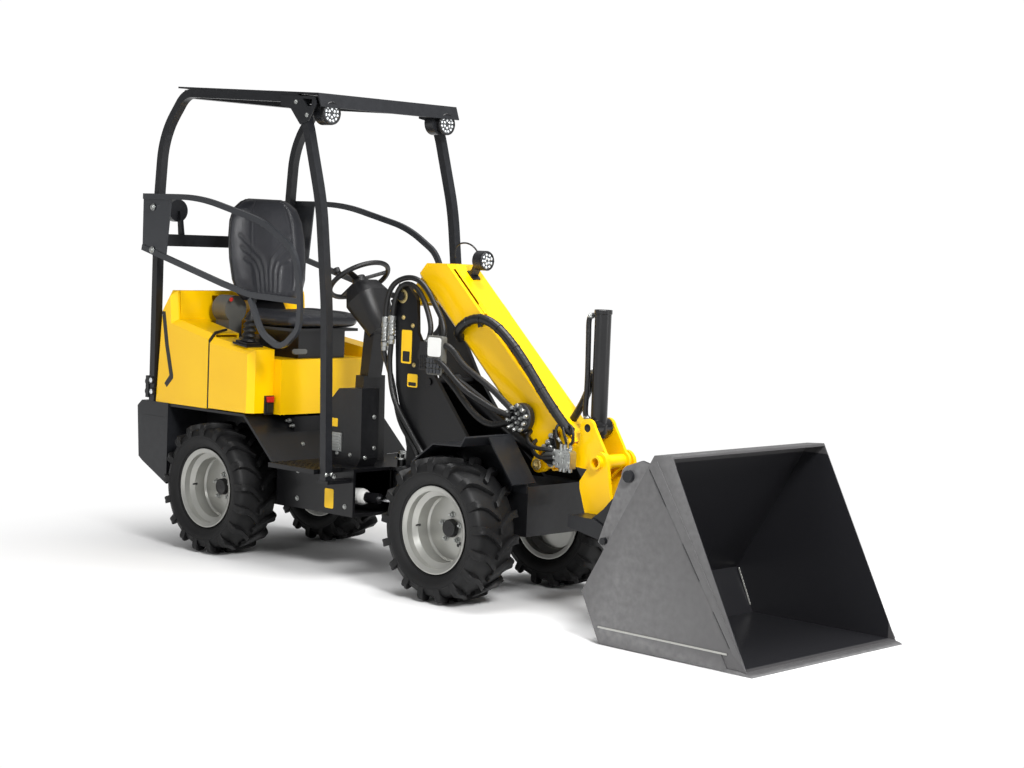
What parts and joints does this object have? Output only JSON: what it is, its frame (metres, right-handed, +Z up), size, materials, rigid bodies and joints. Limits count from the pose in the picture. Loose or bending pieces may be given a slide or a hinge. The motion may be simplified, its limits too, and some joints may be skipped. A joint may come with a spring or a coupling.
{
  "type": "compact articulated wheel loader with telescopic boom and bucket",
  "caption": "Small articulated loader with a telescopic boom, open canopy, side safety bars and a light-goods bucket on a quick hitch.",
  "frame": {"origin": "middle of the whole machine's box in X and Y, on the ground", "axes": "+X forwards to the bucket, +Y to the machine's left, +Z up"},
  "size_m": [3.961, 1.035, 2.281],
  "materials": {
    "yellow": "gloss",
    "anthracite": "satin",
    "bar_grey": "satin",
    "black_steel": "satin",
    "bucket_steel": "matte",
    "cast_block": "matte",
    "rim_silver": "satin",
    "tyre_rubber": "matte",
    "rubber_black": "matte",
    "black_plastic": "matte",
    "vinyl": "satin",
    "bare_steel": "satin",
    "chrome_rod": "polished"
  },
  "bodies": {
    "rear_frame": {"rear_chassis": "anthracite", "counterweight": "anthracite", "engine_block": "cast_block", "hood_side_right": "yellow", "hood_side_left": "yellow", "side_box_right": "yellow", "side_box_left": "yellow", "seat_box": "yellow", "air_filter": "black_plastic", "seat_base": "black_steel", "seat_cushion": "vinyl", "seat_backrest": "vinyl", "joystick": "rubber_black", "rops_frame": "anthracite", "roof": "anthracite", "rear_lamp_bar": "anthracite", "steering_column": "black_plastic", "pedal_guard": "anthracite", "axle_rear": "cast_block"},
    "hood_lid": {"hood": "yellow"},
    "bar_right": {"safety_bar_right": "bar_grey"},
    "bar_left": {"safety_bar_left": "bar_grey"},
    "hand_wheel": {"steering_wheel": "black_plastic"},
    "wheel_rear_right": {"rim_rear_right": "rim_silver", "tyre_rear_right": "tyre_rubber"},
    "wheel_rear_left": {"rim_rear_left": "rim_silver", "tyre_rear_left": "tyre_rubber"},
    "front_frame": {"front_chassis": "anthracite", "fender_right": "anthracite", "fender_left": "anthracite", "axle_front": "cast_block", "coupler_block": "anthracite"},
    "wheel_front_right": {"rim_front_right": "rim_silver", "tyre_front_right": "tyre_rubber"},
    "wheel_front_left": {"rim_front_left": "rim_silver", "tyre_front_left": "tyre_rubber"},
    "boom_outer": {"boom": "yellow", "boom_lamp": "black_plastic", "valve_block": "bare_steel"},
    "boom_inner": {"boom_head": "yellow"},
    "tool": {"tool_carrier": "yellow", "quick_hitch": "anthracite", "bucket": "bucket_steel"},
    "lift_cylinder": {"lift_barrel": "black_steel"},
    "lift_piston": {"lift_rod": "chrome_rod"},
    "tilt_cylinder": {"tilt_barrel": "black_steel"},
    "tilt_piston": {"tilt_rod": "chrome_rod"},
    "steering_cylinder": {"steering_barrel": "black_steel"},
    "steering_piston": {"steering_rod": "chrome_rod"}
  },
  "joints": [
    {"name": "articulation", "type": "hinge", "parent": "rear_frame", "child": "front_frame", "pos_m": [-0.4815, 0, 0.387], "axis": [0, 0, 1], "range_deg": [-38, 38]},
    {"name": "wheel_rear_right_spin", "type": "hinge", "parent": "rear_frame", "child": "wheel_rear_right", "pos_m": [-1.3845, -0.365, 0.322], "axis": [0, 1, 0], "continuous": true},
    {"name": "wheel_rear_left_spin", "type": "hinge", "parent": "rear_frame", "child": "wheel_rear_left", "pos_m": [-1.3845, 0.365, 0.322], "axis": [0, 1, 0], "continuous": true},
    {"name": "wheel_front_right_spin", "type": "hinge", "parent": "front_frame", "child": "wheel_front_right", "pos_m": [0.2115, -0.365, 0.322], "axis": [0, 1, 0], "continuous": true},
    {"name": "wheel_front_left_spin", "type": "hinge", "parent": "front_frame", "child": "wheel_front_left", "pos_m": [0.2115, 0.365, 0.322], "axis": [0, 1, 0], "continuous": true},
    {"name": "boom_lift", "type": "hinge", "parent": "front_frame", "child": "boom_outer", "pos_m": [-0.3615, 0, 1.312], "axis": [0, -1, 0], "range_deg": [0, 88]},
    {"name": "boom_extend", "type": "slide", "parent": "boom_outer", "child": "boom_inner", "axis": [0.7314, 0, -0.682], "range_m": [0, 0.55]},
    {"name": "tool_tilt", "type": "hinge", "parent": "boom_inner", "child": "tool", "pos_m": [0.8235, 0, 0.662], "axis": [0, -1, 0], "range_deg": [-65, 35]},
    {"name": "lift_cylinder_swing", "type": "hinge", "parent": "front_frame", "child": "lift_cylinder", "pos_m": [-0.1665, 0, 0.93], "axis": [0, -1, 0], "range_deg": [-1, 93]},
    {"name": "lift_piston_slide", "type": "slide", "parent": "lift_cylinder", "child": "lift_piston", "axis": [0.8955, 0, -0.4451], "range_m": [-0.002, 0.595]},
    {"name": "tilt_cylinder_swing", "type": "hinge", "parent": "boom_inner", "child": "tilt_cylinder", "pos_m": [0.7335, 0, 0.8], "axis": [0, -1, 0], "range_deg": [-27, 15]},
    {"name": "tilt_piston_slide", "type": "slide", "parent": "tilt_cylinder", "child": "tilt_piston", "axis": [0, 0, -1], "range_m": [-0.116, 0.064]},
    {"name": "steering_cylinder_swing", "type": "hinge", "parent": "rear_frame", "child": "steering_cylinder", "pos_m": [-0.7815, -0.21, 0.355], "axis": [0, 0, 1], "range_deg": [-11, 11]},
    {"name": "steering_piston_slide", "type": "slide", "parent": "steering_cylinder", "child": "steering_piston", "axis": [0.9808, 0.1949, 0], "range_m": [-0.104, 0.104]},
    {"name": "hand_wheel_turn", "type": "hinge", "parent": "rear_frame", "child": "hand_wheel", "pos_m": [-0.8285, 0, 1.369], "axis": [-0.5878, 0, 0.809], "continuous": true},
    {"name": "hood_open", "type": "hinge", "parent": "rear_frame", "child": "hood_lid", "pos_m": [-1.8505, 0, 0.738], "axis": [0, -1, 0], "range_deg": [0, 60]},
    {"name": "safety_bar_right_lift", "type": "hinge", "parent": "rear_frame", "child": "bar_right", "pos_m": [-1.8635, -0.466, 1.686], "axis": [0, -1, 0], "range_deg": [0, 80]},
    {"name": "safety_bar_left_lift", "type": "hinge", "parent": "rear_frame", "child": "bar_left", "pos_m": [-1.8635, 0.466, 1.686], "axis": [0, -1, 0], "range_deg": [0, 80]}
  ],
  "couplings": [
    {"joint": "lift_cylinder_swing", "follows": "boom_lift", "ratio": 1.0493},
    {"joint": "lift_piston_slide", "follows": "boom_lift", "m_per_rad": 0.3851},
    {"joint": "tilt_cylinder_swing", "follows": "tool_tilt", "ratio": 0.41},
    {"joint": "tilt_piston_slide", "follows": "tool_tilt", "m_per_rad": 0.1},
    {"joint": "steering_cylinder_swing", "follows": "articulation", "ratio": 0.26},
    {"joint": "steering_piston_slide", "follows": "articulation", "m_per_rad": 0.155}
  ]
}
